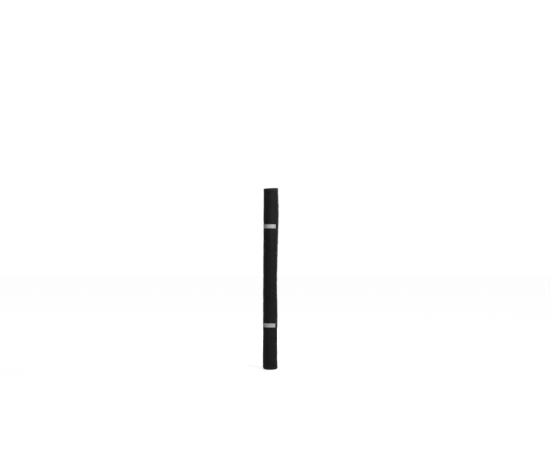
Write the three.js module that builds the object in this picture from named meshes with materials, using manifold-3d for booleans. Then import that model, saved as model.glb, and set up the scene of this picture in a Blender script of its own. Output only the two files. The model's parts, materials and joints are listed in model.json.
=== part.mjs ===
// Pole pad of a basketball goal: three foam panels in one sewn cover that wrap round the pole
// and close at the back with hook-and-loop straps.
// Millimetres, +Z up the pole. The origin is on the pole's axis at the pad's bottom end.
// Azimuths are degrees round the pole, from the front (-Y) toward the right (+X).

import * as THREE from 'three';
import { mergeVertices } from 'three/addons/utils/BufferGeometryUtils.js';
import Module from 'manifold-3d';

// Driving sizes of the wrap, from the pole outward
const poleDiameter = 76;
const poleClearance = 1;
const liningThickness = 0.8;
const foamThickness = 22;
const coverThickness = 1;
const trimThickness = 0.8;
const plyGap = 0.3;

// Driving sizes of the panels
const padLength = 1600;
const seamAzimuth = 101;
const seamGap = 0.9;
const backGap = 6;
const edgeRadius = 3;
const endPanelThickness = 0.8;
const frontStaves = 6;
const wingStaves = 3;
const staveSlit = 0.6;

// Driving sizes of the hems and the reflective bands
const bindingWidth = 19;
const bandWidth = 35;
const lowerBandHeight = 390;
const upperBandInset = 335;

// Driving sizes of the closure straps
const strapCount = 5;
const strapEndInset = 150;
const strapWidth = 38;
const webbingThickness = 1.2;
const anchorLength = 33;
const tailLength = 58;
const tipRadius = 8;
const foldInset = 1;
const foldGap = 0.5;
const patchThickness = 0.8;
const hookLength = 32;
const hookTipInset = 4;
const hookSideInset = 2;
const loopLength = 52;
const loopEdgeInset = 5;

// How the closed wings lie: slack all the way up, full at the shoulder, drawn in at the waist and
// flared at the bottom hem
const slack = 1.2;
const shoulderInset = 240;
const shoulderSpread = 190;
const shoulderSwell = 7.5;
const waistHeight = 780;
const waistSpread = 140;
const waistDepth = 5.5;
const hemSpread = 60;
const hemFlare = 4;
const layRampAngle = 46;

// Facets: the longest on a round face, as an angle, the longest up a wing, and those of small curves
const facetAngle = 5.4;
const levelPitch = 75;
const edgeFacets = 3;
const rampFacets = 4;
const mergeTolerance = 1e-4;

const degrees = THREE.MathUtils.radToDeg;
const radians = THREE.MathUtils.degToRad;

// Radii of the plies, each one clear of the ply below
const liningInner = poleDiameter / 2 + poleClearance;
const liningOuter = liningInner + liningThickness;
const foamInner = liningOuter + plyGap;
const foamOuter = foamInner + foamThickness;
const coverInner = foamOuter + plyGap;
const coverOuter = coverInner + coverThickness;
const trimInner = coverOuter + plyGap;
const trimOuter = trimInner + trimThickness;
const patchOuter = trimInner + patchThickness;
const hookInner = patchOuter + plyGap;
const hookOuter = hookInner + patchThickness;
const tailLift = hookOuter + plyGap - trimInner;
const edgeInset = coverThickness + plyGap;
const foamDepth = coverOuter - foamOuter;

// Panels, from side to side
const halfSeam = degrees(seamGap / 2 / coverOuter);
const halfBack = degrees(backGap / 2 / coverOuter);
const edgeTurn = degrees(Math.asin(edgeRadius / (coverOuter - edgeRadius)));
const frontPanel = panelBetween(halfSeam - seamAzimuth, seamAzimuth - halfSeam, frontStaves);
const rightPanel = panelBetween(seamAzimuth + halfSeam, 180 - halfBack, wingStaves);
const leftPanel = panelBetween(180 + halfBack, 360 - seamAzimuth - halfSeam, wingStaves);

// Azimuths of the strap parts, laid out as lengths of cloth along the wings
const foldAzimuth = rightPanel.to - alongCover(foldInset);
const halfFold = alongCover(foldGap / 2);
const anchorFrom = foldAzimuth - alongCover(anchorLength);
const anchorTo = foldAzimuth - halfFold;
const tailFrom = foldAzimuth + halfFold;
const tailTo = foldAzimuth + alongCover(tailLength);
const hookTo = tailTo - alongCover(hookTipInset);
const hookFrom = hookTo - alongCover(hookLength);
const loopFrom = leftPanel.from + alongCover(loopEdgeInset);
const loopTo = loopFrom + alongCover(loopLength);

const strapHeights = evenly(strapEndInset, padLength - strapEndInset, strapCount - 1);

// Levels at which the wings' form is set: both ends, both edges of each strap, and even steps
// between them. Between two levels every ply runs straight, so what is sewn on lies flat on the cover.
const strapEdges = strapHeights.flatMap((height) => [height - strapWidth / 2, height + strapWidth / 2]);
const levels = [...strapEdges, padLength].reduce((below, edge) => {
  const last = below.at(-1);
  return [...below, ...evenly(last, edge, Math.ceil((edge - last) / levelPitch)).slice(1)];
}, [0]);

const materials = {
  foam: new THREE.MeshStandardMaterial({ color: 0x3c3d3f, roughness: 0.95, metalness: 0 }),
  cover: new THREE.MeshStandardMaterial({ color: 0x1f2021, roughness: 0.62, metalness: 0 }),
  lining: new THREE.MeshStandardMaterial({ color: 0x28292b, roughness: 0.9, metalness: 0 }),
  binding: new THREE.MeshStandardMaterial({ color: 0x232425, roughness: 0.7, metalness: 0 }),
  reflective: new THREE.MeshStandardMaterial({ color: 0xb4b7b3, roughness: 0.35, metalness: 0.4 }),
  webbing: new THREE.MeshStandardMaterial({ color: 0x1c1d1e, roughness: 0.8, metalness: 0 }),
  hook: new THREE.MeshStandardMaterial({ color: 0x202122, roughness: 0.75, metalness: 0 }),
  loop: new THREE.MeshStandardMaterial({ color: 0x252628, roughness: 0.98, metalness: 0 }),
};

const wasm = await Module();
wasm.setup();

// Angle that a length of cloth takes up on the cover
function alongCover(length) {
  return degrees(length / coverOuter);
}

function polar(radius, azimuth) {
  return new THREE.Vector2(radius * Math.sin(radians(azimuth)), -radius * Math.cos(radians(azimuth)));
}

// Values from one to another in even steps
function evenly(from, to, steps) {
  return Array.from({ length: steps + 1 }, (_, index) => from + ((to - from) * index) / steps);
}

// Azimuths of the corners of the facets that a turn takes
function azimuths(from, to) {
  return evenly(from, to, Math.max(1, Math.round(Math.abs(to - from) / facetAngle)));
}

function arc(radius, from, to) {
  return azimuths(from, to).map((azimuth) => polar(radius, azimuth));
}

// Angle by which a side is turned in at a radius, so that it runs parallel to the radial line
function insetAngle(distance, radius) {
  return degrees(Math.asin(distance / radius));
}

// Slice of a ring
function sectorOutline(inner, outer, { from, to }, inset = 0) {
  return [
    ...arc(outer, from + insetAngle(inset, outer), to - insetAngle(inset, outer)),
    ...arc(inner, to - insetAngle(inset, inner), from + insetAngle(inset, inner)),
  ];
}

// A panel between two azimuths, with its face between the rounded edges in even facets, as many for
// each stave. Its cover and its staves share these facets, so that they lie parallel.
function panelBetween(from, to, staves) {
  const face = { from: from + edgeTurn, to: to - edgeTurn };
  const staveFacets = Math.max(1, Math.round((face.to - face.from) / staves / facetAngle));
  return { from, to, face, staves, staveFacets };
}

// Rounded edge of a panel at an azimuth and at a depth under the cover's surface: from its face,
// whose last point it leaves out, to its side. Hand is 1 where the panel ends and -1 where it starts.
function roundedEdge(azimuth, hand, depth) {
  const centreRadius = coverOuter - edgeRadius;
  const outward = polar(1, azimuth);
  const sideways = polar(hand, azimuth + 90);
  const centre = outward.clone()
    .multiplyScalar(Math.sqrt(centreRadius ** 2 - edgeRadius ** 2))
    .addScaledVector(sideways, -edgeRadius);
  return evenly(-Math.asin(edgeRadius / centreRadius), Math.PI / 2, edgeFacets).slice(1).map(
    (angle) => centre.clone()
      .addScaledVector(outward, (edgeRadius - depth) * Math.cos(angle))
      .addScaledVector(sideways, (edgeRadius - depth) * Math.sin(angle)),
  );
}

// Whole outer face of a panel with both rounded edges, at a depth under the cover's surface
function faceOutline({ from, to, face, staves, staveFacets }, depth) {
  return [
    ...roundedEdge(from, -1, depth).toReversed(),
    ...evenly(face.from, face.to, staves * staveFacets).map((azimuth) => polar(coverOuter - depth, azimuth)),
    ...roundedEdge(to, 1, depth),
  ];
}

// Cover of a panel: the outer face, turned in at both edges down to the lining
function coverOutline(panel) {
  const { from, to } = panel;
  const turn = insetAngle(coverThickness, foamInner);
  return [
    ...faceOutline(panel, 0),
    polar(foamInner, to),
    polar(foamInner, to - turn),
    ...faceOutline(panel, coverThickness).toReversed(),
    polar(foamInner, from + turn),
    polar(foamInner, from),
  ];
}

// Closing panel of an end: it fills the cover from side to side
function endOutline(panel) {
  const turn = insetAngle(edgeInset, foamInner);
  return [...faceOutline(panel, foamDepth), ...arc(foamInner, panel.to - turn, panel.from + turn)];
}

// Where a stave starts and ends. The first and the last reach the panel's sides.
function staveBounds({ from, to, face, staves }, index) {
  const bounds = evenly(face.from, face.to, staves);
  return { from: index === 0 ? from : bounds[index], to: index === staves - 1 ? to : bounds[index + 1] };
}

// Radius of a stave's inner corners, so that its flat inner face just clears the lining
function staveCorner({ from, to }) {
  return foamInner / Math.cos(radians((to - from) / 2));
}

// Foam stave: round outside, and flat inside so that it bears on the pole along a line. It fills a
// rounded edge where it reaches one, and leaves half a slit to the next stave.
function staveOutline(panel, index) {
  const bounds = staveBounds(panel, index);
  const corner = staveCorner(bounds);
  const first = index === 0;
  const last = index === panel.staves - 1;
  const slit = insetAngle(staveSlit / 2, foamOuter);
  const sideInset = (atEdge) => insetAngle(atEdge ? edgeInset : staveSlit / 2, corner);
  const stations = evenly(
    first ? panel.face.from : bounds.from,
    last ? panel.face.to : bounds.to,
    panel.staveFacets,
  );
  stations[0] += first ? 0 : slit;
  stations[panel.staveFacets] -= last ? 0 : slit;
  return [
    ...(first ? roundedEdge(bounds.from, -1, foamDepth).toReversed() : []),
    ...stations.map((azimuth) => polar(foamOuter, azimuth)),
    ...(last ? roundedEdge(bounds.to, 1, foamDepth) : []),
    polar(corner, bounds.to - sideInset(last)),
    polar(corner, bounds.from + sideInset(first)),
  ];
}

// Strap tail: it leaves the right wing on the cover and climbs over the back gap to lie on the
// hook patch
function tailOutline() {
  const route = [
    tailFrom,
    ...evenly(rightPanel.to, loopFrom, rampFacets),
    ...azimuths(loopFrom, tailTo).slice(1),
  ];
  const lift = (azimuth) => tailLift * THREE.MathUtils.smoothstep(azimuth, rightPanel.to, loopFrom);
  return [
    ...route.map((azimuth) => polar(trimInner + webbingThickness + lift(azimuth), azimuth)),
    ...route.toReversed().map((azimuth) => polar(trimInner + lift(azimuth), azimuth)),
  ];
}

// Straight prism up the pole, with a ring of vertices at each of the given heights
function prism(outline, heights) {
  const steps = heights.length - 1;
  const settings = { depth: 1, steps, bevelEnabled: false };
  const geometry = new THREE.ExtrudeGeometry(new THREE.Shape(outline), settings);
  const position = geometry.getAttribute('position');
  for (let index = 0; index < position.count; index += 1) {
    position.setZ(index, heights[Math.round(position.getZ(index) * steps)]);
  }
  return geometry;
}

function bell(distance, spread) {
  return Math.exp(-((distance / spread) ** 2));
}

// How far the closed back stands off its true circle at a height
function smoothLay(height) {
  return slack
    + shoulderSwell * bell(height - (padLength - shoulderInset), shoulderSpread)
    + hemFlare * bell(height, hemSpread)
    - waistDepth * bell(height - waistHeight, waistSpread);
}

function layAt(height) {
  const above = Math.max(1, levels.findIndex((level) => level >= height));
  const share = (height - levels[above - 1]) / (levels[above] - levels[above - 1]);
  return THREE.MathUtils.lerp(smoothLay(levels[above - 1]), smoothLay(levels[above]), share);
}

// Moves a wing's plies in or out with its lay. The seams and the foam's inner faces stay.
function layOnBack(geometry, baseHeight = 0) {
  const still = staveCorner(staveBounds(rightPanel, 0));
  const position = geometry.getAttribute('position');
  const point = new THREE.Vector3();
  for (let index = 0; index < position.count; index += 1) {
    point.fromBufferAttribute(position, index);
    const radius = Math.hypot(point.x, point.y);
    const fromFront = degrees(Math.abs(Math.atan2(point.x, -point.y)));
    const round = THREE.MathUtils.smoothstep(fromFront, seamAzimuth, seamAzimuth + layRampAngle);
    const through = THREE.MathUtils.clamp((radius - still) / (coverOuter - still), 0, 1);
    const scale = 1 + (layAt(baseHeight + point.z) * round * through) / radius;
    position.setXYZ(index, point.x * scale, point.y * scale, point.z);
  }
  return geometry;
}

function toSolid(geometry) {
  const bare = geometry.clone();
  bare.deleteAttribute('normal');
  bare.deleteAttribute('uv');
  const merged = mergeVertices(bare, mergeTolerance);
  const mesh = new wasm.Mesh({
    numProp: 3,
    vertProperties: merged.getAttribute('position').array,
    triVerts: new Uint32Array(merged.getIndex().array),
  });
  return new wasm.Manifold(mesh);
}

function toGeometry(solid) {
  const mesh = solid.getMesh();
  const geometry = new THREE.BufferGeometry();
  geometry.setAttribute('position', new THREE.BufferAttribute(mesh.vertProperties, 3));
  geometry.setIndex(new THREE.BufferAttribute(mesh.triVerts, 1));
  return geometry;
}

// Trims a strap tail to a tip with two round corners
function roundTip(geometry) {
  const reach = 2 * coverOuter;
  const half = strapWidth / 2;
  const corner = Math.min(tipRadius, half);
  const outline = new THREE.Shape();
  outline.moveTo(-reach, -half);
  outline.absarc(-corner, corner - half, corner, -Math.PI / 2, 0, false);
  outline.absarc(-corner, half - corner, corner, 0, Math.PI / 2, false);
  outline.lineTo(-reach, half);
  const settings = { depth: reach, curveSegments: rampFacets, bevelEnabled: false };
  const cutter = new THREE.ExtrudeGeometry(outline, settings);
  const outward = new THREE.Vector3(Math.sin(radians(tailTo)), -Math.cos(radians(tailTo)), 0);
  const along = new THREE.Vector3(Math.cos(radians(tailTo)), Math.sin(radians(tailTo)), 0);
  cutter.applyMatrix4(new THREE.Matrix4().makeBasis(along, new THREE.Vector3(0, 0, 1), outward));
  return toGeometry(toSolid(geometry).intersect(toSolid(cutter)));
}

function addPart(group, name, material, geometry, height = 0) {
  geometry.computeVertexNormals();
  const mesh = new THREE.Mesh(geometry, material);
  mesh.name = name;
  mesh.position.z = height;
  group.add(mesh);
}

// Foam staves of a panel, in order of azimuth
function addFoam(group, prefix, panel, finish) {
  const bottom = endPanelThickness + plyGap;
  const heights = finish.levels.map((level) => THREE.MathUtils.clamp(level, bottom, padLength - bottom));
  for (let index = 0; index < panel.staves; index += 1) {
    const stave = finish.form(prism(staveOutline(panel, index), heights));
    addPart(group, `${prefix}_foam_${index + 1}`, materials.foam, stave);
  }
}

// One panel: lining, foam, cover, the panels that close its ends, and the hems round them
function addPanel(group, prefix, panel, finish) {
  const { form } = finish;
  const ends = {
    bottom: { panel: [0, endPanelThickness], binding: [0, bindingWidth] },
    top: {
      panel: [padLength - endPanelThickness, padLength],
      binding: [padLength - bindingWidth, padLength],
    },
  };
  addFoam(group, prefix, panel, finish);
  const lining = prism(sectorOutline(liningInner, liningOuter, panel), [0, padLength]);
  addPart(group, `${prefix}_lining`, materials.lining, lining);
  addPart(group, `${prefix}_skin`, materials.cover, form(prism(coverOutline(panel), finish.levels)));
  for (const [place, heights] of Object.entries(ends)) {
    const closing = form(prism(endOutline(panel), heights.panel));
    const binding = form(prism(sectorOutline(trimInner, trimOuter, panel.face), heights.binding));
    addPart(group, `${prefix}_${place}_end`, materials.cover, closing);
    addPart(group, `${prefix}_${place}_binding`, materials.binding, binding);
  }
}

// Reflective band, sewn on the front panel from seam to seam
function addBand(group, name, height) {
  const outline = sectorOutline(trimInner, trimOuter, frontPanel.face);
  addPart(group, name, materials.reflective, prism(outline, [-bandWidth / 2, bandWidth / 2]), height);
}

// Closure strap: anchor and tail on the right wing, hook patch under the tail, loop patch on the left
function addStrap(rightWing, leftWing, number, height) {
  const name = `strap_${number}`;
  const edges = [-strapWidth / 2, strapWidth / 2];
  const hookEdges = [hookSideInset - strapWidth / 2, strapWidth / 2 - hookSideInset];
  const anchor = sectorOutline(trimInner, trimInner + webbingThickness, { from: anchorFrom, to: anchorTo });
  const hook = sectorOutline(hookInner, hookOuter, { from: hookFrom, to: hookTo });
  const loop = sectorOutline(trimInner, patchOuter, { from: loopFrom, to: loopTo });
  const form = (outline, heights) => layOnBack(prism(outline, heights), height);
  const peel = new THREE.Group();
  rightWing.add(peel);
  addPart(rightWing, `${name}_anchor`, materials.webbing, form(anchor, edges), height);
  addPart(peel, `${name}_tail`, materials.webbing, roundTip(form(tailOutline(), edges)), height);
  addPart(peel, `${name}_hook`, materials.hook, form(hook, hookEdges), height);
  addPart(leftWing, `${name}_loop`, materials.loop, form(loop, edges), height);
}

const pad = new THREE.Group();
const front = new THREE.Group();
const rightWing = new THREE.Group();
const leftWing = new THREE.Group();
pad.add(front, rightWing, leftWing);

const plain = { levels: [0, padLength], form: (geometry) => geometry };
const laid = { levels, form: (geometry) => layOnBack(geometry) };
addPanel(front, 'front', frontPanel, plain);
addPanel(rightWing, 'right', rightPanel, laid);
addPanel(leftWing, 'left', leftPanel, laid);
addBand(front, 'lower_band', lowerBandHeight);
addBand(front, 'upper_band', padLength - upperBandInset);
strapHeights.forEach((height, index) => addStrap(rightWing, leftWing, index + 1, height));

export default pad;
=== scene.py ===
import json
import math
import random

import bmesh
import bpy
import numpy as np
from bpy.props import FloatProperty, FloatVectorProperty, PointerProperty
from mathutils import Euler, Matrix, Vector, noise

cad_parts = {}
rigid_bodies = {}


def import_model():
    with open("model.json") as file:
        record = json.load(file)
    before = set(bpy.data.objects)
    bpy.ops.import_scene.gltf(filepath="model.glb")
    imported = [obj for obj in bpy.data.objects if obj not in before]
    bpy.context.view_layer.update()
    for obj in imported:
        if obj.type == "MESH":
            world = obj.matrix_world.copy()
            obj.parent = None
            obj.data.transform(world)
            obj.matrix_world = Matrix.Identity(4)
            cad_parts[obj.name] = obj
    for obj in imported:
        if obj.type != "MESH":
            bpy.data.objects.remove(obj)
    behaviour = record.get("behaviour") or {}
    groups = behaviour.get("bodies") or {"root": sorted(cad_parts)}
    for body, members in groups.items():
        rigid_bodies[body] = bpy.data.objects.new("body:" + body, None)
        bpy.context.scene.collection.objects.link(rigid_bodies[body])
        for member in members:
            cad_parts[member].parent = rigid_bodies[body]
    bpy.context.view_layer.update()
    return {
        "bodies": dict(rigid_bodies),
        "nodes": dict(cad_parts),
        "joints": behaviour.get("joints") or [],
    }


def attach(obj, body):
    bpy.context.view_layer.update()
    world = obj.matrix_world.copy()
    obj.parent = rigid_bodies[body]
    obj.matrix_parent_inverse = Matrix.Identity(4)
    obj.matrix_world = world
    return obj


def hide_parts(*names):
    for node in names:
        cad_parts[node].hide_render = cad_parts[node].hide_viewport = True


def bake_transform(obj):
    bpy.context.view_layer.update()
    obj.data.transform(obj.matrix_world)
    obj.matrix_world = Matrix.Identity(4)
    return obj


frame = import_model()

bl_info = {
    "name": "Pole Pad",
    "version": (1, 0, 0),
    "blender": (4, 5, 0),
    "location": "3D View > Sidebar > Pole Pad",
    "description": "Dresses the frame of a wrap-around pole pad in its cover, tapes, straps and stitching",
    "category": "Object",
}

# Sizes are in metres, and MM writes them as millimetres. Azimuths are degrees round the pole, from
# the front (-Y) toward the right (+X). A lift is a distance outward from the cover's face.
# On a panel laid flat, a place is given along its face, through its depth and up the pole.
MM = 0.001
STITCH_SEED = 7
STRAP_SEED = 11
HEM_CLOTH = 0.8 * MM      # thickness of a hem's binding
BAND_CLOTH = 0.5 * MM     # thickness of a reflective band
LOOP_CLOTH = 0.9 * MM     # thickness of a loop tape
SEWN_GAP = 0.12 * MM      # between the cover and a tape that is sewn on it
SEWN_MARGIN = 0.5 * MM    # how far past the edge of a tape the cover is held, and bare of stitches
ALLOWANCE = 2.4 * MM      # how far past its row of stitches a seam's cloth is held
TUCK_SPREAD = 1.6 * MM    # how far to each side a row of stitches draws the cover in


def metres(name, description, default):
    return FloatProperty(name=name, description=description, default=default, unit="LENGTH")


def number(name, description, default):
    return FloatProperty(name=name, description=description, default=default)


def swatch(name, description, default):
    return FloatVectorProperty(name=name, description=description, default=default, subtype="COLOR")


class PadSizes(bpy.types.PropertyGroup):
    """Form of the padded panels and of what is sewn on them"""

    side_roll: metres("Side roll", "Width of a panel's rounded side edge", 3 * MM)
    face_roll: metres("Face roll", "Depth of the rounded edges round a panel's face", 5 * MM)
    bore_roll: metres("Bore roll", "Depth of the rounded edges against the pole", 1.5 * MM)
    end_roll: metres("End roll", "Height of a panel's rounded end edge", 8 * MM)
    top_rise: metres("Top rise", "How much higher the top stands opposite its lowest place", 8 * MM)
    top_low_azimuth: number("Top low azimuth", "Azimuth where the top hangs lowest, in degrees", 5)
    foot_rise: metres("Foot rise", "How much higher the foot stands opposite its lowest place", 13 * MM)
    foot_low_azimuth: number("Foot low azimuth", "Azimuth where the foot hangs lowest, in degrees", 56)
    rise_reach: metres("Rise reach", "How far from an end its rise is felt", 60 * MM)
    foot_draw: metres("Foot draw", "How far the binding draws the foot in where it is tightest", 5 * MM)
    foot_draw_azimuth: number("Foot draw azimuth", "Azimuth where the foot is tightest, in degrees", -90)
    foot_draw_reach: metres("Foot draw reach", "How far up the foot is drawn in", 11 * MM)
    unevenness: metres("Unevenness", "How far the padding stands in or out of its true round", 0.6 * MM)
    end_crown: metres("End crown", "How far the stuffing lifts the top end", 2 * MM)
    seam_inset: metres("Seam inset", "From a panel's side to its row of stitches", 6.5 * MM)
    tuck: metres("Tuck", "How deep a row of stitches draws the cover in", 0.9 * MM)
    hem_width: metres("Hem width", "Height of the binding on the cover", 19 * MM)
    hem_lip: metres("Hem lip", "How far the binding turns over the end", 9 * MM)
    swell: metres("Swell", "The most that the stuffed cover may stand out", 1 * MM)
    sink: metres("Sink", "The most that the cover may sink into the foam", 0.7 * MM)


class StitchSizes(bpy.types.PropertyGroup):
    """Sewing thread"""

    length: metres("Length", "Length of a stitch", 3.2 * MM)
    pitch: metres("Pitch", "From one stitch to the next", 4.2 * MM)
    thickness: metres("Thickness", "Thickness of the thread", 0.75 * MM)
    inset: metres("Inset", "From a tape's edge to its row of stitches", 2.5 * MM)


class StrapSizes(bpy.types.PropertyGroup):
    """How the straps lie"""

    skew: number("Skew", "The most that a tail may lie askew, in degrees", 1.4)
    curl: metres("Curl", "The most that a tail's tip may stand off", 1.6 * MM)
    tip_radius: metres("Tip radius", "Radius of a tip's corners", 8 * MM)


class PadColours(bpy.types.PropertyGroup):
    """Base colours of the finishes"""

    cover: swatch("Cover", "Coated cover cloth", (0.0081, 0.0083, 0.0086))
    binding: swatch("Binding", "Ribbed binding tape", (0.0125, 0.0127, 0.013))
    silver: swatch("Silver", "Reflective cloth", (0.4, 0.411, 0.409))
    lining: swatch("Lining", "Lining cloth", (0.024, 0.0245, 0.026))
    webbing: swatch("Webbing", "Strap webbing", (0.021, 0.0213, 0.022))
    fastener: swatch("Fastener", "Hook and loop tapes", (0.0145, 0.0148, 0.0154))
    thread: swatch("Thread", "Sewing thread", (0.045, 0.046, 0.048))


class StageSettings(bpy.types.PropertyGroup):
    """Camera and lights"""

    azimuth: number("Azimuth", "Azimuth of the camera round the pole, in degrees", 53)
    distance: metres("Distance", "From the pole to the camera", 8.68)
    height: metres("Height", "Height of the camera over the pad's foot", 1.012)
    lens: number("Lens", "Focal length in millimetres", 63.8)
    pitch: number("Pitch", "How far the camera looks up, in degrees", 1.76)
    yaw: number("Yaw", "How far the camera looks right of the pole, in degrees", 0.26)
    roll: number("Roll", "How far the camera leans, in degrees", 0.27)
    room_light: number("Room light", "Strength of the light all round", 0.2)
    key_power: number("Key power", "Power of the key lamp in watts", 195)
    left_power: number("Left power", "Power of the left lamp in watts", 110)
    back_power: number("Back power", "Power of the back lamp in watts", 150)


def pad_sizes():
    return bpy.context.scene.pad_sizes


def stitch_sizes():
    return bpy.context.scene.stitch_sizes


def radius_of(point):
    return math.hypot(point.x, point.y)


def azimuth_of(point, first=-180.0):
    """Azimuth of a point, within one turn from the first."""
    return (math.degrees(math.atan2(point.x, -point.y)) - first) % 360 + first


def turn_from_front(azimuth):
    return abs(math.remainder(azimuth, 360))


def within(value, low, high):
    return min(max(value, low), high)


def smooth(share):
    share = within(share, 0.0, 1.0)
    return share * share * (3 - 2 * share)


def bell(distance, spread):
    return math.exp(-((distance / spread) ** 2))


def node_points(name):
    return [vertex.co for vertex in frame["nodes"][name].data.vertices]


class Wrap:
    """The closed pad's round, measured on the frame."""

    full_lay_turn = 46      # degrees past the seam where a wing follows its lay in full
    still_depth = 22 * MM   # the lay fades out down to this depth under the cover
    easing = 30 * MM        # kinks of the lay are eased over this height, up and down
    uneven_scale = 9        # turns of the unevenness for each metre

    def __init__(self):
        front = node_points("front_skin")
        wing = node_points("right_skin")
        lining = node_points("front_lining")
        self.cover = max(radius_of(p) for p in front)
        self.lining = max(radius_of(p) for p in lining)
        self.bore = min(radius_of(p) for p in lining)
        self.length = max(p.z for p in front)
        front_edge = max(turn_from_front(azimuth_of(p)) for p in front)
        wing_edge = min(turn_from_front(azimuth_of(p)) for p in wing)
        self.seam = (front_edge + wing_edge) / 2
        rear = [p for p in wing if azimuth_of(p) > self.seam + self.full_lay_turn]
        heights = sorted({round(p.z, 5) for p in rear})
        self.lay_stations = [
            (z, max(radius_of(p) for p in rear if abs(p.z - z) < MM) - self.cover) for z in heights
        ]

    def set_lay(self, height):
        """How far the frame's closed wings stand off their true round at a height."""
        height = within(height, 0.0, self.length)
        for (low, below), (high, above) in zip(self.lay_stations, self.lay_stations[1:]):
            if height <= high:
                return below + (above - below) * (height - low) / (high - low)
        return self.lay_stations[-1][1]

    def lay(self, height):
        """The same, with its kinks eased."""
        steps = (-1.0, -0.5, 0.0, 0.5, 1.0)
        return sum(self.set_lay(height + step * self.easing) for step in steps) / len(steps)

    def turned(self, azimuth):
        """Share of the lay that a wing follows at an azimuth."""
        return smooth((turn_from_front(azimuth) - self.seam) / self.full_lay_turn)

    def settle(self, azimuth, height):
        """How far the ends have ridden up at an azimuth, away from where each hangs lowest."""
        sizes = pad_sizes()
        ends = (
            (sizes.foot_rise, sizes.foot_low_azimuth, height),
            (sizes.top_rise, sizes.top_low_azimuth, self.length - height),
        )
        return sum(
            rise * (1 - math.cos(math.radians(azimuth - lowest))) / 2 * bell(from_end, sizes.rise_reach)
            for rise, lowest, from_end in ends)

    def spot(self, azimuth, lift, height):
        """Point at an azimuth, a lift off the cover and a height on the closed pad."""
        sizes = pad_sizes()
        angle = math.radians(azimuth)
        around = Vector((math.sin(angle), -math.cos(angle), 0)) * self.cover
        uneven = noise.noise((around + Vector((0, 0, height))) * self.uneven_scale) * sizes.unevenness
        tight = (1 + math.cos(math.radians(azimuth - sizes.foot_draw_azimuth))) / 2
        drawn_in = sizes.foot_draw * tight * bell(height, sizes.foot_draw_reach)
        through = within(1 + lift / self.still_depth, 0.0, 1.0)
        stand_off = (self.lay(height) * self.turned(azimuth) + uneven - drawn_in) * through
        point = around * (1 + (lift + stand_off) / self.cover)
        point.z = height + self.settle(azimuth, height)
        return point

    def set_lift(self, point):
        """Lift of a point of the frame off the frame's own cover."""
        stand_off = self.set_lay(point.z) * self.turned(azimuth_of(point))
        return radius_of(point) - self.cover - stand_off

    def arc(self, length):
        """Degrees that a length of cloth takes up on the cover."""
        return math.degrees(length / self.cover)

    def length_of(self, degrees):
        return math.radians(degrees) * self.cover


WRAP = Wrap()


def rounded(point, size, rolls):
    """A plain box's point moved onto the same box with rolled edges, and the way outward there.

    Each axis has two rolls, one for each of its sides.
    """
    core = Vector()
    reach = Vector()
    radii = Vector()
    for axis in range(3):
        low, high = rolls[axis]
        core[axis] = within(point[axis], low, size[axis] - high)
        radii[axis] = low if point[axis] < low else high
        reach[axis] = (point[axis] - core[axis]) / radii[axis]
    if reach.length == 0:
        return Vector(point), Vector()
    way = reach.normalized()
    outward = Vector(w / r for w, r in zip(way, radii)).normalized()
    return core + way * radii, outward


class Panel:
    """One padded panel of the wrap. Its places are flat ones."""

    def __init__(self, name, body, first_azimuth):
        azimuths = [azimuth_of(p, first_azimuth) for p in node_points(name + "_skin")]
        self.name = name
        self.body = body
        self.first_azimuth = first_azimuth
        self.start = min(azimuths)
        self.end = max(azimuths)
        self.width = WRAP.length_of(self.end - self.start)
        self.depth = WRAP.cover - WRAP.lining
        self.size = Vector((self.width, self.depth, WRAP.length))

    def azimuth(self, along):
        return self.start + WRAP.arc(along)

    def patch(self, node):
        """Where a node lies on the panel: its lowest and highest place along and up."""
        points = node_points(node)
        along = [WRAP.length_of(azimuth_of(p, self.first_azimuth) - self.start) for p in points]
        up = [p.z for p in points]
        return Patch(min(along), max(along), min(up), max(up))

    def seam_lines(self):
        """Places along the face where a row of stitches runs up the panel."""
        inset = pad_sizes().seam_inset
        return inset, self.width - inset

    def rolls(self):
        """Rolls of both sides, of the face and the bore, and of both ends."""
        sizes = pad_sizes()
        return (
            (sizes.side_roll, sizes.side_roll),
            (sizes.face_roll, sizes.bore_roll),
            (sizes.end_roll, sizes.end_roll),
        )

    def point(self, along, depth, up, lift=0.0):
        """Point on the panel's soft surface, over a place on its plain box."""
        sizes = pad_sizes()
        place, outward = rounded((along, depth, up), self.size, self.rolls())
        drawn_in = 0.0
        if depth <= 0 and sizes.hem_width < up < WRAP.length - sizes.hem_width:
            drawn_in = sum(sizes.tuck * bell(along - line, TUCK_SPREAD) for line in self.seam_lines())
        place += outward * (lift - drawn_in)
        crown = math.sin(math.pi * within(place.y / self.depth, 0.0, 1.0))
        place.z += sizes.end_crown * crown * bell(WRAP.length - place.z, sizes.end_roll)
        return WRAP.spot(self.azimuth(place.x), -place.y, place.z)

    def on_face(self, along, up, lift=0.0):
        """Point a lift off the cover. Past an edge of the face, the cloth goes on down the side."""
        past = max(-along, along - self.width, -up, up - WRAP.length, 0.0)
        return self.point(within(along, 0.0, self.width), past, within(up, 0.0, WRAP.length), lift)


class Patch:
    """A rectangle on a panel's face."""

    def __init__(self, left, right, bottom, top):
        self.left = left
        self.right = right
        self.bottom = bottom
        self.top = top

    def grown(self, margin):
        return Patch(self.left - margin, self.right + margin, self.bottom - margin, self.top + margin)

    def holds(self, along, up):
        return self.left <= along <= self.right and self.bottom <= up <= self.top

    def corners(self):
        return [
            (self.left, self.bottom), (self.right, self.bottom),
            (self.right, self.top), (self.left, self.top),
        ]


FRONT = Panel("front", "front_panel", -180)
RIGHT = Panel("right", "right_wing", 0)
LEFT = Panel("left", "left_wing", 0)
PANELS = (FRONT, RIGHT, LEFT)
STRAPS = sorted(name for name in frame["bodies"] if name.startswith("strap_"))


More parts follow.
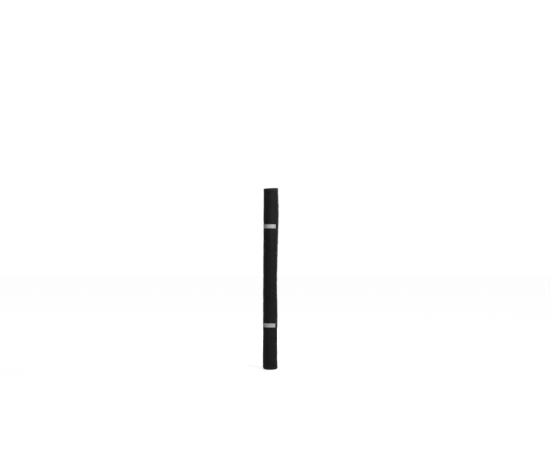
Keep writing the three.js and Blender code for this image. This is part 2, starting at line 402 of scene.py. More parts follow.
class Strap:
    """One closure strap: a webbing sewn on the right wing, whose tail crosses to the left wing."""

    curl_reach = 14 * MM   # how far from its tip a tail curls
    least_curl = 0.3       # share of the most curl that every tail has

    def __init__(self, name, luck):
        sizes = bpy.context.scene.strap_sizes
        joint = next(joint for joint in frame["joints"] if joint["child"] == name)
        anchor = node_points(name + "_anchor")
        tail = node_points(name + "_tail")
        self.name = name
        self.start = min(azimuth_of(p, 0) for p in anchor)
        self.tip = max(azimuth_of(p, 0) for p in tail)
        self.fold = azimuth_of(Vector(joint["pos_m"]), 0)
        self.landing = min(azimuth_of(p, 0) for p in node_points(name + "_loop"))
        self.low_lift = min(WRAP.set_lift(p) for p in anchor)
        self.thickness = max(WRAP.set_lift(p) for p in anchor) - self.low_lift
        self.high_lift = max(WRAP.set_lift(p) for p in tail) - self.thickness
        self.bottom = min(p.z for p in anchor)
        self.width = max(p.z for p in anchor) - self.bottom
        self.length = WRAP.length_of(self.tip - self.start)
        self.skew = math.tan(math.radians(luck.uniform(-sizes.skew, sizes.skew)))
        self.curl = luck.uniform(self.least_curl, 1.0) * sizes.curl

    def point(self, along, depth, up):
        """Point of the webbing: along from its sewn end, down from its outer face, up from its edge."""
        azimuth = self.start + WRAP.arc(along)
        past_fold = max(0.0, WRAP.length_of(azimuth - self.fold))
        climb = smooth((azimuth - RIGHT.end) / (self.landing - RIGHT.end))
        to_tip = self.length - along
        lift = self.low_lift + (self.high_lift - self.low_lift) * climb + self.thickness - depth
        lift += self.curl * smooth(1 - to_tip / self.curl_reach) ** 2
        return WRAP.spot(azimuth, lift, self.bottom + up + self.skew * past_fold)


def all_straps():
    """The straps from the bottom up, each with the same skew and curl every time."""
    luck = random.Random(STRAP_SEED)
    return [Strap(name, luck) for name in STRAPS]


def linked(name, data):
    """Puts a mesh, a lamp or a camera in the scene."""
    made = bpy.data.objects.new(name, data)
    bpy.context.scene.collection.objects.link(made)
    return made


def meshed(name, bm):
    """Puts a bmesh in the scene as an object, and frees it."""
    mesh = bpy.data.meshes.new(name)
    bm.to_mesh(mesh)
    bm.free()
    return linked(name, mesh)


def graded(length, rolls, keys, step):
    """Stations from 0 to a length: close over the end rolls, on the keys, and at most a step apart."""
    first, last = rolls
    shares = (0.0, 0.1, 0.25, 0.45, 0.7, 1.0)
    least_gap = 0.05 * MM
    fixed = [first * share for share in shares] + [length - last * share for share in shares]
    fixed += [key for key in keys if first < key < length - last]
    fixed.sort()
    stations = [fixed[0]]
    for station in fixed[1:]:
        gap = station - stations[-1]
        if gap < least_gap:
            continue
        pieces = math.ceil(gap / step - 1e-6)
        stations += [stations[-1] + gap * (index + 1) / pieces for index in range(pieces)]
    return stations


def slab(name, stations, place, rolls=None):
    """A box divided at stations along, through and up, with each of its points put in place.

    Its UV map holds metres of unfolded cloth, and its "flat" attribute the places on the box.
    """
    size = [ticks[-1] for ticks in stations]
    bm = bmesh.new()
    bmesh.ops.create_cube(bm, size=1)
    bmesh.ops.translate(bm, vec=(0.5, 0.5, 0.5), verts=bm.verts)
    for axis, ticks in enumerate(stations):
        if len(ticks) > 2:
            long_edges = [e for e in bm.edges if abs(e.verts[0].co[axis] - e.verts[1].co[axis]) > 0.5]
            bmesh.ops.subdivide_edges(bm, edges=long_edges, cuts=len(ticks) - 2, use_grid_fill=True)
    bm.normal_update()
    flat = bm.verts.layers.float_vector.new("flat")
    cloth = bm.loops.layers.uv.new("cloth")
    for vert in bm.verts:
        vert[flat] = Vector(
            ticks[round(vert.co[axis] * (len(ticks) - 1))] for axis, ticks in enumerate(stations)
        )
    for face in bm.faces:
        out = max(range(3), key=lambda axis: abs(face.normal[axis]))
        high = face.normal[out] > 0
        for loop in face.loops:
            along, depth, up = loop.vert[flat]
            if out == 0:
                along += depth if high else -depth
            if out == 2:
                up += depth if high else -depth
            loop[cloth].uv = (along, up)
    for vert in bm.verts:
        at = Vector(vert[flat])
        if rolls:
            at = rounded(at, size, rolls)[0]
        vert.co = place(*at)
    piece = meshed(name, bm)
    piece.data.shade_smooth()
    return piece


def tape(name, patch, thickness, place, step, rolls=0.35 * MM):
    """A strip of cloth over a patch. Place is given along, down from its outer face, and up."""
    half = min(rolls, thickness * 0.45)
    edges = ((rolls, rolls), (half, half), (rolls, rolls))
    lengths = (patch.right - patch.left, thickness, patch.top - patch.bottom)
    steps = (step, thickness, step)
    stations = [graded(length, ends, (), most) for length, ends, most in zip(lengths, edges, steps)]
    return slab(name, stations, lambda x, y, z: place(patch.left + x, y, patch.bottom + z), edges)


def sewn_tape(name, panel, patch, thickness, step):
    """A tape sewn flat on a panel's cover."""

    def place(along, depth, up):
        return panel.on_face(along, up, SEWN_GAP + thickness - depth)

    return tape(name, patch, thickness, place, step)


def finished(piece, material):
    """Gives a slab its material and its slot, and drops its places on the box."""
    piece.data.materials.append(material)
    piece.data.attributes.remove(piece.data.attributes["flat"])


def vectors(vertices, attribute):
    """One row of three numbers for each vertex."""
    numbers = np.zeros(len(vertices) * 3, np.float32)
    vertices.foreach_get(attribute, numbers)
    return numbers.reshape(-1, 3)


def swell(piece, held):
    """Lets the cover swell and buckle over its foam by a short cloth simulation.

    Held tells which places are sewn down or lie against something. They stay.
    """
    sizes = pad_sizes()
    mesh = piece.data
    rest = vectors(mesh.vertices, "co")
    pins = piece.vertex_groups.new(name="held")
    flat = mesh.attributes["flat"].data
    pins.add([index for index, place in enumerate(flat) if held(*place.vector)], 1.0, "REPLACE")
    cloth = piece.modifiers.new("Cloth", "CLOTH")
    settings = cloth.settings
    settings.vertex_group_mass = pins.name
    settings.quality = 4
    settings.mass = 0.25
    settings.tension_stiffness = 15
    settings.compression_stiffness = 12
    settings.shear_stiffness = 6
    settings.bending_stiffness = 1.5
    settings.use_pressure = True
    settings.uniform_pressure_force = 4
    settings.shrink_min = -0.006
    settings.effector_weights.gravity = 0
    cloth.collision_settings.use_collision = False
    cloth.point_cache.frame_start = 1
    cloth.point_cache.frame_end = 20
    scene = bpy.context.scene
    for step in range(cloth.point_cache.frame_start, cloth.point_cache.frame_end + 1):
        scene.frame_set(step)
    shown = piece.evaluated_get(bpy.context.evaluated_depsgraph_get())
    shift = vectors(shown.data.vertices, "co") - rest
    normals = vectors(mesh.vertices, "normal")
    out = (shift * normals).sum(1)
    most = np.where(out > 0, sizes.swell, sizes.sink).astype(np.float32)
    capped = most * np.tanh(out / most)
    moved = rest + shift + normals * (capped - out)[:, None]
    scene.frame_set(1)
    piece.modifiers.remove(cloth)
    piece.vertex_groups.remove(pins)
    mesh.vertices.foreach_set("co", moved.astype(np.float32).ravel())
    mesh.update()


class Stitches:
    """Rows of thread stitches, gathered in one mesh."""

    standing = 0.25         # share of the thread's thickness that a stitch's middle stands off
    slants = (-0.06, 0.1)   # the least and the most that a stitch lies across its row

    def __init__(self, name):
        self.name = name
        self.luck = random.Random(STITCH_SEED)
        self.bm = bmesh.new()
        stitch = bmesh.new()
        bmesh.ops.create_uvsphere(stitch, u_segments=6, v_segments=4, radius=1)
        self.stitch = bpy.data.meshes.new("stitch")
        stitch.to_mesh(self.stitch)
        stitch.free()

    def row(self, surface, start, end):
        """Stitches from one flat place to another on a surface(along, up, lift)."""
        sizes = stitch_sizes()
        run = Vector(end) - Vector(start)
        count = max(1, round(run.length / sizes.pitch))
        half = run.normalized() * (sizes.length / 2)
        lift = sizes.thickness * self.standing
        for index in range(count):
            middle = Vector(start) + run * ((index + 0.5) / count)
            centre = surface(*middle, lift)
            out = (surface(*middle, lift + MM) - centre).normalized()
            tangent = (surface(*(middle + half), lift) - surface(*(middle - half), lift)).normalized()
            tangent = (tangent + out.cross(tangent) * self.luck.uniform(*self.slants)).normalized()
            self.add(centre, tangent * (sizes.length / 2), out * (sizes.thickness / 2))

    def add(self, centre, half_length, half_thickness):
        side = half_thickness.cross(half_length).normalized() * half_thickness.length
        axes = Matrix((side, half_thickness, half_length)).transposed().to_4x4()
        placed = self.stitch.copy()
        placed.transform(Matrix.Translation(centre) @ axes)
        self.bm.from_mesh(placed)
        bpy.data.meshes.remove(placed)

    def outline(self, surface, patch):
        """Stitches all round a patch."""
        corners = patch.corners()
        for start, end in zip(corners, corners[1:] + corners[:1]):
            self.row(surface, start, end)

    def cross(self, surface, patch):
        """Stitches from corner to corner of a patch."""
        corners = patch.corners()
        self.row(surface, corners[0], corners[2])
        self.row(surface, corners[1], corners[3])

    def done(self, material):
        bpy.data.meshes.remove(self.stitch)
        piece = meshed(self.name, self.bm)
        piece.data.shade_smooth()
        piece.data.materials.append(material)
        return piece


class Value:
    """A shader socket that can be used in sums: each sum adds a Math node."""

    def __init__(self, nodes, socket):
        self.nodes = nodes
        self.socket = socket

    def math(self, operation, *terms):
        return self.nodes.node("Math", {"operation": operation}, dict(enumerate(terms)))

    def __add__(self, other):
        return self.math("ADD", self, other)

    def __sub__(self, other):
        return self.math("SUBTRACT", self, other)

    def __rsub__(self, other):
        return self.math("SUBTRACT", other, self)

    def __mul__(self, other):
        return self.math("MULTIPLY", self, other)

    def __truediv__(self, other):
        return self.math("DIVIDE", self, other)

    __radd__ = __add__
    __rmul__ = __mul__

    def sine(self):
        return self.math("SINE", self)

    def wave(self, pitch):
        """A sine wave that comes round after each pitch."""
        return (self * (2 * math.pi / pitch)).sine()

    def size(self):
        return self.math("ABSOLUTE", self)

    def fraction(self):
        return self.math("FRACT", self)


class Nodes:
    """The nodes of a material or of a world."""

    def __init__(self, owner):
        owner.use_nodes = True
        self.tree = owner.node_tree
        self.tree.nodes.clear()

    def node(self, kind, settings=None, sockets=None, output=0):
        """Adds a node, makes its settings, and then gives its sockets their values or links."""
        made = self.tree.nodes.new("ShaderNode" + kind)
        for name, value in (settings or {}).items():
            if name == "stops":
                self.set_stops(made.color_ramp.elements, value)
            else:
                setattr(made, name, value)
        for name, value in (sockets or {}).items():
            if isinstance(value, Value):
                self.tree.links.new(value.socket, made.inputs[name])
            else:
                made.inputs[name].default_value = value
        return Value(self, made.outputs[output]) if made.outputs else None

    def set_stops(self, elements, stops):
        while len(elements) < len(stops):
            elements.new(1.0)
        for element, (place, level) in zip(elements, stops):
            element.position = place
            element.color = (level, level, level, 1)

    def seen(self, *kinds):
        """1 on rays from the camera and on rays of these kinds, and 0 on all others."""
        seen = self.node("LightPath", output="Is Camera Ray")
        for kind in kinds:
            seen = seen.math("MAXIMUM", seen, self.node("LightPath", output=f"Is {kind} Ray"))
        return seen


class Finish(Nodes):
    """A material built from nodes."""

    def __init__(self, name):
        self.material = bpy.data.materials.new(name)
        super().__init__(self.material)

    def along_and_up(self):
        """Metres along and up the cloth, from the piece's own UV map."""
        cloth = self.node("UVMap", {"uv_map": "cloth"})
        return [self.node("SeparateXYZ", sockets={0: cloth}, output=axis) for axis in range(2)]

    def place(self):
        return self.node("TexCoord", output="Object")

    def noise(self, scale, detail=2.0, stretch=(1, 1, 1)):
        vector = self.node("VectorMath", {"operation": "MULTIPLY"}, {0: self.place(), 1: stretch})
        return self.node("TexNoise", sockets={"Vector": vector, "Scale": scale, "Detail": detail})

    def ramp(self, factor, *stops):
        return self.node("ValToRGB", {"stops": stops}, {"Fac": factor})

    def mix(self, factor, first, second):
        """One colour turning to another with a factor."""
        colours = {
            socket: colour if isinstance(colour, Value) else (*colour, 1)
            for socket, colour in ((6, first), (7, second))
        }
        return self.node("Mix", {"data_type": "RGBA"}, {0: factor, **colours}, output=2)

    def tint(self, factor, colour, low, high):
        """A colour that is darker or lighter with a factor."""
        return self.mix(factor, [c * low for c in colour], [c * high for c in colour])

    def bump(self, height, depth, under=None):
        sockets = {"Height": height, "Distance": depth, "Strength": 1.0}
        if under:
            sockets["Normal"] = under
        return self.node("Bump", sockets=sockets)

    def close(self, sockets):
        """Ends the material with its Principled shader."""
        shader = self.node("BsdfPrincipled", sockets=sockets)
        self.node("OutputMaterial", sockets={"Surface": shader})
        return self.material


def made_once(build):
    """Makes a finish, named like its function, and keeps it, so that pieces share its material."""
    kept = []

    def get():
        if not kept:
            kept.append(build(Finish(build.__name__), bpy.context.scene.pad_colours))
        return kept[0]

    return get


@made_once
def cover_cloth(finish, colours):
    """Coated polyester: a plain weave that shows through its coating, with scuffs and dust."""
    along, up = finish.along_and_up()
    thread = 0.62 * MM
    turns = 2 * math.pi / (2 * thread)
    waver = finish.noise(220, 1.0) * 0.5
    weave = (along * turns + waver).sine() * (up * turns + waver).sine()
    slub = finish.noise(900, 3.0)
    creases = finish.noise(38, 3.0, (1, 1, 0.55))
    crease_bump = finish.bump(creases, 1.1 * MM)
    bump = finish.bump(weave * 0.5 + slub * 0.35, 0.16 * MM, crease_bump)
    cloudy = finish.noise(7, 4.0)
    scuffs = finish.ramp(finish.noise(95, 5.0, (1, 1, 0.4)), (0.6, 0.0), (0.72, 1.0))
    base = finish.tint(finish.ramp(cloudy, (0.3, 0.0), (0.7, 1.0)), colours.cover, 0.84, 1.2)
    dusty = finish.mix(scuffs * 0.3, base, [c * 2.2 for c in colours.cover])
    return finish.close({
        "Base Color": dusty,
        "Roughness": 0.5 + cloudy * 0.12 - scuffs * 0.05,
        "Specular IOR Level": 0.06,
        "Normal": bump,
    })


@made_once
def binding_tape(finish, colours):
    """Grosgrain binding, with ribs across the tape."""
    along = finish.along_and_up()[0]
    ribs = along.wave(1.1 * MM)
    fuzz = finish.noise(1300, 3.0)
    pull = finish.noise(70, 2.0)
    bump = finish.bump(ribs * 0.5 + fuzz * 0.4, 0.2 * MM, finish.bump(pull, 0.5 * MM))
    worn = finish.ramp(finish.noise(60, 4.0), (0.4, 0.0), (0.72, 1.0))
    return finish.close({
        "Base Color": finish.tint(worn, colours.binding, 0.85, 1.5),
        "Roughness": 0.62 + worn * 0.1,
        "Specular IOR Level": 0.08,
        "Normal": bump,
    })


@made_once
def silver_cloth(finish, colours):
    """Retroreflective cloth: beads over a metal layer, with creases and rubbed spots."""
    along, up = finish.along_and_up()
    twill = (along + up).wave(0.9 * MM)
    beads = finish.noise(4200, 2.0)
    creases = finish.noise(48, 3.0, (1, 1, 1.6))
    bump = finish.bump(twill * 0.4 + beads * 0.3, 0.05 * MM, finish.bump(creases, 0.9 * MM))
    rubbed = finish.ramp(finish.noise(120, 6.0, (1, 1, 0.5)), (0.56, 0.0), (0.7, 1.0))
    cloudy = finish.noise(16, 3.0)
    base = finish.tint(finish.ramp(cloudy, (0.3, 0.0), (0.7, 1.0)), colours.silver, 0.93, 1.06)
    grain = finish.mix(beads * 0.25, base, [c * 0.7 for c in colours.silver])
    return finish.close({
        "Base Color": finish.mix(rubbed * 0.35, grain, [c * 0.55 for c in colours.silver]),
        "Metallic": 0.08 - rubbed * 0.05,
        "Roughness": 0.5 + rubbed * 0.15 + beads * 0.05,
        "Specular IOR Level": 0.12,
        "Normal": bump,
    })


@made_once
def lining_cloth(finish, colours):
    """Bonded lining, embossed with rows of small dots."""
    along, up = finish.along_and_up()
    rows = along.wave(2.4 * MM) * up.wave(2.4 * MM)
    dots = finish.ramp(rows * 0.5 + 0.5, (0.6, 1.0), (0.85, 0.0))
    fibres = finish.noise(800, 4.0, (1, 1, 0.3))
    bump = finish.bump(dots * 0.6 + fibres * 0.4, 0.18 * MM, finish.bump(finish.noise(30, 2.0), 0.8 * MM))
    return finish.close({
        "Base Color": finish.tint(fibres * 0.6 + dots * 0.4, colours.lining, 0.7, 1.25),
        "Roughness": 0.78 + fibres * 0.12,
        "Specular IOR Level": 0.2,
        "Normal": bump,
    })


@made_once
def webbing_cloth(finish, colours):
    """Strap webbing in a herringbone weave."""
    along, up = finish.along_and_up()
    zigzag = ((up / (9 * MM)).fraction() - 0.5).size() * (9 * MM)
    bone = (along + zigzag).wave(1.5 * MM)
    yarn = finish.noise(1500, 3.0)
    bump = finish.bump(bone * 0.5 + yarn * 0.4, 0.25 * MM)
    worn = finish.ramp(finish.noise(45, 4.0), (0.4, 0.0), (0.7, 1.0))
    return finish.close({
        "Base Color": finish.tint(bone * 0.3 + worn * 0.5 + 0.2, colours.webbing, 0.75, 1.5),
        "Roughness": 0.6 + worn * 0.12,
        "Specular IOR Level": 0.15,
        "Normal": bump,
    })


@made_once
def hook_tape(finish, colours):
    """Rows of moulded hooks."""
    along, up = finish.along_and_up()
    rows = along.wave(1.3 * MM) * up.wave(1.7 * MM)
    hooks = finish.ramp(rows * 0.5 + 0.5, (0.55, 0.0), (0.75, 1.0))
    bump = finish.bump(hooks + finish.noise(900, 2.0) * 0.2, 0.6 * MM)
    return finish.close({
        "Base Color": finish.tint(hooks, colours.fastener, 0.6, 1.5),
        "Roughness": 0.45 + hooks * 0.15,
        "Specular IOR Level": 0.4,
        "Normal": bump,
    })


@made_once
def loop_tape(finish, colours):
    """Soft pile of loops."""
    pile = finish.noise(1100, 5.0)
    tufts = finish.noise(240, 3.0)
    bump = finish.bump(pile * 0.7 + tufts * 0.4, 0.5 * MM)
    return finish.close({
        "Base Color": finish.tint(pile * 0.6 + tufts * 0.4, colours.fastener, 0.6, 1.6),
        "Roughness": 0.85 + pile * 0.1,
        "Specular IOR Level": 0.15,
        "Sheen Weight": 0.12,
        "Sheen Roughness": 0.6,
        "Normal": bump,
    })


@made_once
def sewing_thread(finish, colours):
    """Bonded thread."""
    ply = finish.noise(1400, 2.0)
    return finish.close({
        "Base Color": finish.tint(ply, colours.thread, 0.8, 1.3),
        "Roughness": 0.5 + ply * 0.1,
        "Specular IOR Level": 0.35,
        "Normal": finish.bump(ply, 0.15 * MM),
    })


def trim_patches(panel):
    """The bands, anchors or loop tapes on a panel's face, from the bottom up."""
    nodes = {
        "front": ["lower_band", "upper_band"],
        "right": [strap + "_anchor" for strap in STRAPS],
        "left": [strap + "_loop" for strap in STRAPS],
    }
    return [panel.patch(node) for node in nodes[panel.name]]


def sewn_patches(panel):
    """What is sewn down on a panel's face: hems, seam allowances, bands, anchors and loop tapes."""
    sizes = pad_sizes()
    width, length, hem = panel.width, WRAP.length, sizes.hem_width
    allowance = sizes.seam_inset + ALLOWANCE
    return [
        Patch(0, width, 0, hem), Patch(0, width, length - hem, length),
        Patch(0, allowance, 0, length), Patch(width - allowance, width, 0, length),
        *trim_patches(panel),
    ]


class POLEPAD_OT_panels(bpy.types.Operator):
    """Make the padded panels, and let their covers swell"""

    bl_idname = "pole_pad.panels"
    bl_label = "Padded Panels"

    steps = (4.5 * MM, 5 * MM, 7 * MM)   # the most between stations along, through and up
    at_tuck = (-1, -0.5, 0, 0.5, 1)      # stations about a row of stitches, in allowances

    def execute(self, context):
        for panel in PANELS:
            self.make(panel)
        return {"FINISHED"}

    def make(self, panel):
        patches = sewn_patches(panel)
        sewn = [patch.grown(SEWN_MARGIN) for patch in patches]

        def held(along, depth, up):
            return depth > 0.01 * MM or any(patch.holds(along, up) for patch in sewn)

        across = [line + share * ALLOWANCE for line in panel.seam_lines() for share in self.at_tuck]
        across += [edge for patch in patches for edge in (patch.left, patch.right)]
        heights = [edge for patch in patches for edge in (patch.bottom, patch.top)]
        lengths = (panel.width, panel.depth, WRAP.length)
        keys = (across, (), heights)
        stations = [graded(*axis) for axis in zip(lengths, panel.rolls(), keys, self.steps)]
        pad = slab(panel.name + "_pad", stations, panel.point)
        swell(pad, held)
        finished(pad, cover_cloth())
        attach(pad, panel.body)
        inside = [node for node in frame["nodes"] if node.startswith(panel.name + "_foam_")]
        ends = [panel.name + end for end in ("_skin", "_top_end", "_bottom_end")]
        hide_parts(*inside, *ends)


class POLEPAD_OT_liners(bpy.types.Operator):
    """Make the linings against the pole"""

    bl_idname = "pole_pad.liners"
    bl_label = "Linings"

    gap = 0.05 * MM   # between a pad and its liner
    short = 1 * MM    # how far from each end a liner stops

    def execute(self, context):
        for panel in PANELS:
            self.make(panel)
        return {"FINISHED"}

    def make(self, panel):
        def place(along, depth, up):
            return WRAP.spot(panel.azimuth(along), -panel.depth - self.gap - depth, up)

        patch = Patch(0, panel.width, self.short, WRAP.length - self.short)
        liner = tape(panel.name + "_liner", patch, WRAP.lining - WRAP.bore, place, step=11 * MM)
        finished(liner, lining_cloth())
        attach(liner, panel.body)
        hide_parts(panel.name + "_lining")
        flat_width = math.radians(panel.end - panel.start) * WRAP.lining


class POLEPAD_OT_hems(bpy.types.Operator):
    """Make the bindings round both ends"""

    bl_idname = "pole_pad.hems"
    bl_label = "Hems"

    def execute(self, context):
        sizes = pad_sizes()
        for panel in PANELS:
            for end, base in (("bottom", -sizes.hem_lip), ("top", WRAP.length - sizes.hem_width)):
                patch = Patch(0, panel.width, base, base + sizes.hem_lip + sizes.hem_width)
                hem = sewn_tape(f"{panel.name}_{end}_hem", panel, patch, HEM_CLOTH, step=1.8 * MM)
                finished(hem, binding_tape())
                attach(hem, panel.body)
                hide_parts(f"{panel.name}_{end}_binding")
        return {"FINISHED"}


class POLEPAD_OT_stripes(bpy.types.Operator):
    """Make the two reflective bands"""

    bl_idname = "pole_pad.stripes"
    bl_label = "Reflective Bands"

    def execute(self, context):
        for place in ("lower", "upper"):
            band = FRONT.patch(place + "_band")
            patch = Patch(0, FRONT.width, band.bottom, band.top)
            stripe = sewn_tape(place + "_stripe", FRONT, patch, BAND_CLOTH, step=2.5 * MM)
            finished(stripe, silver_cloth())
            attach(stripe, FRONT.body)
            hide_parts(place + "_band")
        return {"FINISHED"}


class POLEPAD_OT_seams(bpy.types.Operator):
    """Make the cloth hinges in the grooves between the front panel and the wings"""

    bl_idname = "pole_pad.seams"
    bl_label = "Seams"

    reach = 4 * MM          # how far the cloth goes up each panel's roll from the groove's bottom
    bottom = 3.2 * MM       # how deep the groove's bottom lies
    thickness = 0.35 * MM
    gap = 0.1 * MM          # between the covers and the hinge
    short = 2 * MM          # how far from each end the hinge stops
    crossing = 0.3          # half the crossing from panel to panel, as a share of the reach

    def execute(self, context):
        for name, wing, front_side, wing_side in (("right_seam", RIGHT, 1, 0), ("left_seam", LEFT, 0, 1)):
            seam = self.make(name, wing, front_side, wing_side)
            finished(seam, cover_cloth())
            start = FRONT.on_face(front_side * FRONT.width, WRAP.length / 2)
            end = wing.on_face(wing_side * wing.width, WRAP.length / 2)
            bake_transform(seam)
        return {"FINISHED"}

    def make(self, name, wing, front_side, wing_side):
        handed = 1 if front_side else -1

        def side_point(panel, side, climb, up, lift):
            down = self.bottom - climb
            along = panel.width + down if side else -down
            return panel.on_face(along, up, lift)

        def place(x, depth, z):
            across = handed * (x / self.reach - 1)
            climb = abs(across) * self.reach
            lift = self.gap + self.thickness - depth
            front = side_point(FRONT, front_side, climb, self.short + z, lift)
            back = side_point(wing, wing_side, climb, self.short + z, lift)
            return front.lerp(back, smooth(across / self.crossing * 0.5 + 0.5))

        height = WRAP.length - self.short - self.short
        stations = (
            graded(2 * self.reach, (0.3 * MM, 0.3 * MM), (), 0.4 * MM),
            [0.0, self.thickness],
            graded(height, (8 * MM, 8 * MM), (), 8 * MM),
        )
        return slab(name, stations, place)


class POLEPAD_OT_straps(bpy.types.Operator):
    """Make the closure straps and the hook tapes under their tails"""

    bl_idname = "pole_pad.straps"
    bl_label = "Straps"

    half_fold = 1.2 * MM   # half the length of webbing about the fold
    gap = 0.05 * MM        # between a tail and its hook tape

    def execute(self, context):
        for strap in all_straps():
            self.make_webbing(strap)
            self.make_hook_tape(strap)
        return {"FINISHED"}

    def make_webbing(self, strap):
        corner = bpy.context.scene.strap_sizes.tip_radius
        half_width = strap.width / 2

        def place(along, depth, up):
            into_tip = corner - (strap.length - along)
            if into_tip > 0:
                narrowed = half_width - corner + math.sqrt(max(corner ** 2 - into_tip ** 2, 0.0))
                up = half_width + (up - half_width) * narrowed / half_width
            return strap.point(along, depth, up)

        patch = Patch(0, strap.length, 0, strap.width)
        webbing = tape(strap.name, patch, strap.thickness, place, step=2 * MM, rolls=0.55 * MM)
        finished(webbing, webbing_cloth())
        bend = WRAP.arc(self.half_fold)
        WRAP.spot(strap.fold - bend, 0, strap.bottom + half_width)
        WRAP.spot(strap.fold + bend, 0, strap.bottom + half_width)
        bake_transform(webbing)
        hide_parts(strap.name + "_anchor", strap.name + "_tail")

    def make_hook_tape(self, strap):
        points = node_points(strap.name + "_hook")
        places = [WRAP.length_of(azimuth_of(p, 0) - strap.start) for p in points]
        heights = [p.z - strap.bottom for p in points]
        lifts = [WRAP.set_lift(p) for p in points]
        patch = Patch(min(places), max(places), min(heights), max(heights))

        def place(along, depth, up):
            return strap.point(along, strap.thickness + self.gap + depth, up)

        hooks = tape(strap.name + "_hook_tape", patch, max(lifts) - min(lifts), place, step=3 * MM)
        finished(hooks, hook_tape())
        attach(hooks, strap.name)
        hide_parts(strap.name + "_hook")


class POLEPAD_OT_loop_tapes(bpy.types.Operator):
    """Make the loop tapes on the left wing"""

    bl_idname = "pole_pad.loop_tapes"
    bl_label = "Loop Tapes"

    def execute(self, context):
        for name in STRAPS:
            patch = LEFT.patch(name + "_loop")
            loops = sewn_tape(name + "_loop_tape", LEFT, patch, LOOP_CLOTH, step=3 * MM)
            finished(loops, loop_tape())
            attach(loops, LEFT.body)
            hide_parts(name + "_loop")
        return {"FINISHED"}


class POLEPAD_OT_stitches(bpy.types.Operator):
    """Sew the rows of stitches"""

    bl_idname = "pole_pad.stitches"
    bl_label = "Stitches"

    from_hem = 1 * MM      # between a hem and the rows that run up a panel
    from_fold = 2 * MM     # between an anchor's sewn part and its fold
    in_frame = 1.5 * MM    # how far the crossed rows on an anchor stay inside the outer ones

    def execute(self, context):
        for panel in PANELS:
            sewing = Stitches(panel.name + "_stitches")
            self.sew_hems(sewing, panel)
            self.sew_seams(sewing, panel)
            if panel is FRONT:
                self.sew_bands(sewing)
            if panel is LEFT:
                self.sew_loop_tapes(sewing)
            if panel is RIGHT:
                self.sew_anchors(sewing)
            piece = sewing.done(sewing_thread())
            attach(piece, panel.body)
        return {"FINISHED"}

    def on_tape(self, panel, thickness):
        """A panel's surface, raised by a tape's thickness."""
        return lambda along, up, lift: panel.on_face(along, up, lift + thickness + SEWN_GAP)

    def sew_hems(self, sewing, panel):
        surface = self.on_tape(panel, HEM_CLOTH)
        edge = pad_sizes().side_roll
        from_end = pad_sizes().hem_width - stitch_sizes().inset
        for up in (from_end, WRAP.length - from_end):
            sewing.row(surface, (edge, up), (panel.width - edge, up))

    def sew_seams(self, sewing, panel):
        for along in panel.seam_lines():
            for bottom, top in self.bare_heights(panel, along):
                sewing.row(panel.on_face, (along, bottom), (along, top))

    def bare_heights(self, panel, along):
        """Stretches of a seam line, between the hems, that no band or strap covers."""
        hem = pad_sizes().hem_width + self.from_hem
        edges = [hem]
        for cover in trim_patches(panel):
            if cover.left <= along <= cover.right:
                edges += [cover.bottom - SEWN_MARGIN, cover.top + SEWN_MARGIN]
        edges.append(WRAP.length - hem)
        return list(zip(edges[::2], edges[1::2]))

    def sew_bands(self, sewing):
        surface = self.on_tape(FRONT, BAND_CLOTH)
        edge = pad_sizes().side_roll
        for name in ("lower_band", "upper_band"):
            patch = FRONT.patch(name).grown(-stitch_sizes().inset)
            for up in (patch.bottom, patch.top):
                sewing.row(surface, (edge, up), (FRONT.width - edge, up))

    def sew_loop_tapes(self, sewing):
        surface = self.on_tape(LEFT, LOOP_CLOTH)
        for name in STRAPS:
            sewing.outline(surface, LEFT.patch(name + "_loop").grown(-stitch_sizes().inset))

    def sew_anchors(self, sewing):
        for strap in all_straps():
            to_fold = WRAP.length_of(strap.fold - strap.start)
            patch = Patch(0, to_fold - self.from_fold, 0, strap.width).grown(-stitch_sizes().inset)

            def surface(along, up, lift):
                return strap.point(along, -lift, up)

            sewing.outline(surface, patch)
            sewing.cross(surface, patch.grown(-self.in_frame))


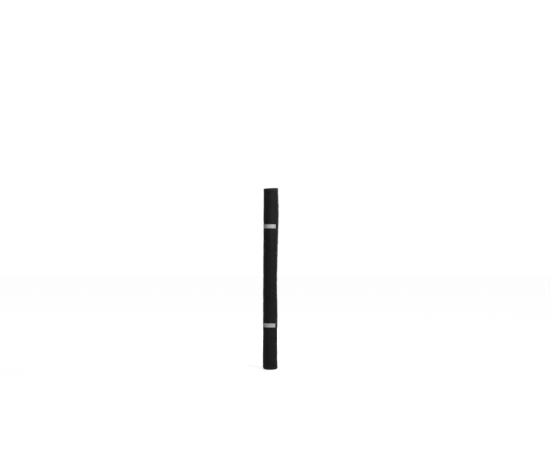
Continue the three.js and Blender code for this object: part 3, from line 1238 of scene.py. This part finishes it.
class POLEPAD_OT_stage(bpy.types.Operator):
    """Make the floor, the backdrop's light, the lamps and the camera"""

    bl_idname = "pole_pad.stage"
    bl_label = "Stage"

    white = (1, 1, 1, 1)

    def execute(self, context):
        self.make_camera(context.scene)
        self.make_lamps(context.scene)
        self.make_room(context.scene)
        self.make_floor()
        context.scene.view_settings.view_transform = "Standard"
        return {"FINISHED"}

    def around(self, azimuth, distance, height):
        angle = math.radians(azimuth)
        return Vector((distance * math.sin(angle), -distance * math.cos(angle), height))

    def make_camera(self, scene):
        shot = scene.stage_settings
        camera = linked("camera", bpy.data.cameras.new("camera"))
        camera.data.lens = shot.lens
        camera.location = self.around(shot.azimuth, shot.distance, shot.height)
        facing = Euler((math.radians(90 + shot.pitch), 0, math.radians(shot.azimuth - shot.yaw)))
        leaning = facing.to_matrix() @ Matrix.Rotation(math.radians(shot.roll), 3, "Z")
        camera.rotation_euler = leaning.to_euler()
        scene.camera = camera

    def make_lamps(self, scene):
        shot = scene.stage_settings
        middle = Vector((0, 0, WRAP.length / 2))
        for name, azimuth, distance, height, power, size in (
            ("key_lamp", 86, 4.2, 2.8, shot.key_power, 2.0),
            ("left_fill_lamp", -122, 4.5, 2.2, shot.left_power, 2.6),
            ("back_fill_lamp", 196, 4.5, 2.6, shot.back_power, 2.6),
        ):
            lamp = linked(name, bpy.data.lights.new(name, "AREA"))
            lamp.data.energy = power
            lamp.data.size = size
            lamp.location = self.around(azimuth, distance, height)
            lamp.rotation_euler = (middle - lamp.location).to_track_quat("-Z", "Y").to_euler()
            lamp.visible_camera = False

    def make_room(self, scene):
        """White where it is seen or mirrored, and a softer light on everything else."""
        scene.world = bpy.data.worlds.new("room")
        room = Nodes(scene.world)
        soft, white = (
            room.node("Background", sockets={"Color": self.white, "Strength": strength})
            for strength in (scene.stage_settings.room_light, 1.0)
        )
        seen = room.seen("Glossy", "Transmission")
        mixed = room.node("MixShader", sockets={0: seen, 1: soft, 2: white})
        room.node("OutputWorld", sockets={"Surface": mixed})

    def make_floor(self):
        bm = bmesh.new()
        bmesh.ops.create_circle(bm, cap_ends=True, segments=64, radius=40)
        floor = meshed("floor", bm)
        floor.data.materials.append(self.floor_finish())

    def floor_finish(self):
        """Pale floor that reads white where it is seen, and keeps the shadow."""
        finish = Finish("floor_paint")
        grey = (0.42, 0.42, 0.42, 1)
        near_glow = 0.66
        more_far_off = 0.24
        shadowed = finish.node("BsdfDiffuse", sockets={"Color": grey})
        away = finish.node("VectorMath", {"operation": "LENGTH"}, {0: finish.place()}, output="Value")
        glow_strength = near_glow + finish.ramp(away / 12, (0.08, 0.0), (0.5, 1.0)) * more_far_off
        strength = finish.seen("Glossy") * glow_strength
        glow = finish.node("Emission", sockets={"Color": self.white, "Strength": strength})
        both = finish.node("AddShader", sockets={0: shadowed, 1: glow})
        finish.node("OutputMaterial", sockets={"Surface": both})
        return finish.material


OPERATORS = (
    POLEPAD_OT_stage,
    POLEPAD_OT_panels,
    POLEPAD_OT_liners,
    POLEPAD_OT_hems,
    POLEPAD_OT_stripes,
    POLEPAD_OT_seams,
    POLEPAD_OT_straps,
    POLEPAD_OT_loop_tapes,
    POLEPAD_OT_stitches,
)
GROUPS = {
    "pad_sizes": PadSizes,
    "stitch_sizes": StitchSizes,
    "strap_sizes": StrapSizes,
    "pad_colours": PadColours,
    "stage_settings": StageSettings,
}


class POLEPAD_PT_sidebar(bpy.types.Panel):
    """Lists the sizes, the colours and the pieces"""

    bl_idname = "POLEPAD_PT_sidebar"
    bl_label = "Pole Pad"
    bl_space_type = "VIEW_3D"
    bl_region_type = "UI"
    bl_category = "Pole Pad"

    def draw(self, context):
        for name, group in GROUPS.items():
            box = self.layout.box()
            box.label(text=group.__doc__)
            for setting in group.__annotations__:
                box.prop(getattr(context.scene, name), setting)
        for operator in OPERATORS:
            self.layout.operator(operator.bl_idname)


def register():
    for group in (*GROUPS.values(), *OPERATORS, POLEPAD_PT_sidebar):
        bpy.utils.register_class(group)
    for name, group in GROUPS.items():
        setattr(bpy.types.Scene, name, PointerProperty(type=group))


def unregister():
    for name in GROUPS:
        delattr(bpy.types.Scene, name)
    for group in (POLEPAD_PT_sidebar, *reversed(OPERATORS), *reversed(GROUPS.values())):
        bpy.utils.unregister_class(group)


def main():
    register()
    bpy.ops.pole_pad.stage()
    bpy.ops.pole_pad.panels()
    bpy.ops.pole_pad.liners()
    bpy.ops.pole_pad.hems()
    bpy.ops.pole_pad.stripes()
    bpy.ops.pole_pad.seams()
    bpy.ops.pole_pad.straps()
    bpy.ops.pole_pad.loop_tapes()
    bpy.ops.pole_pad.stitches()


if __name__ == "__main__":
    main()
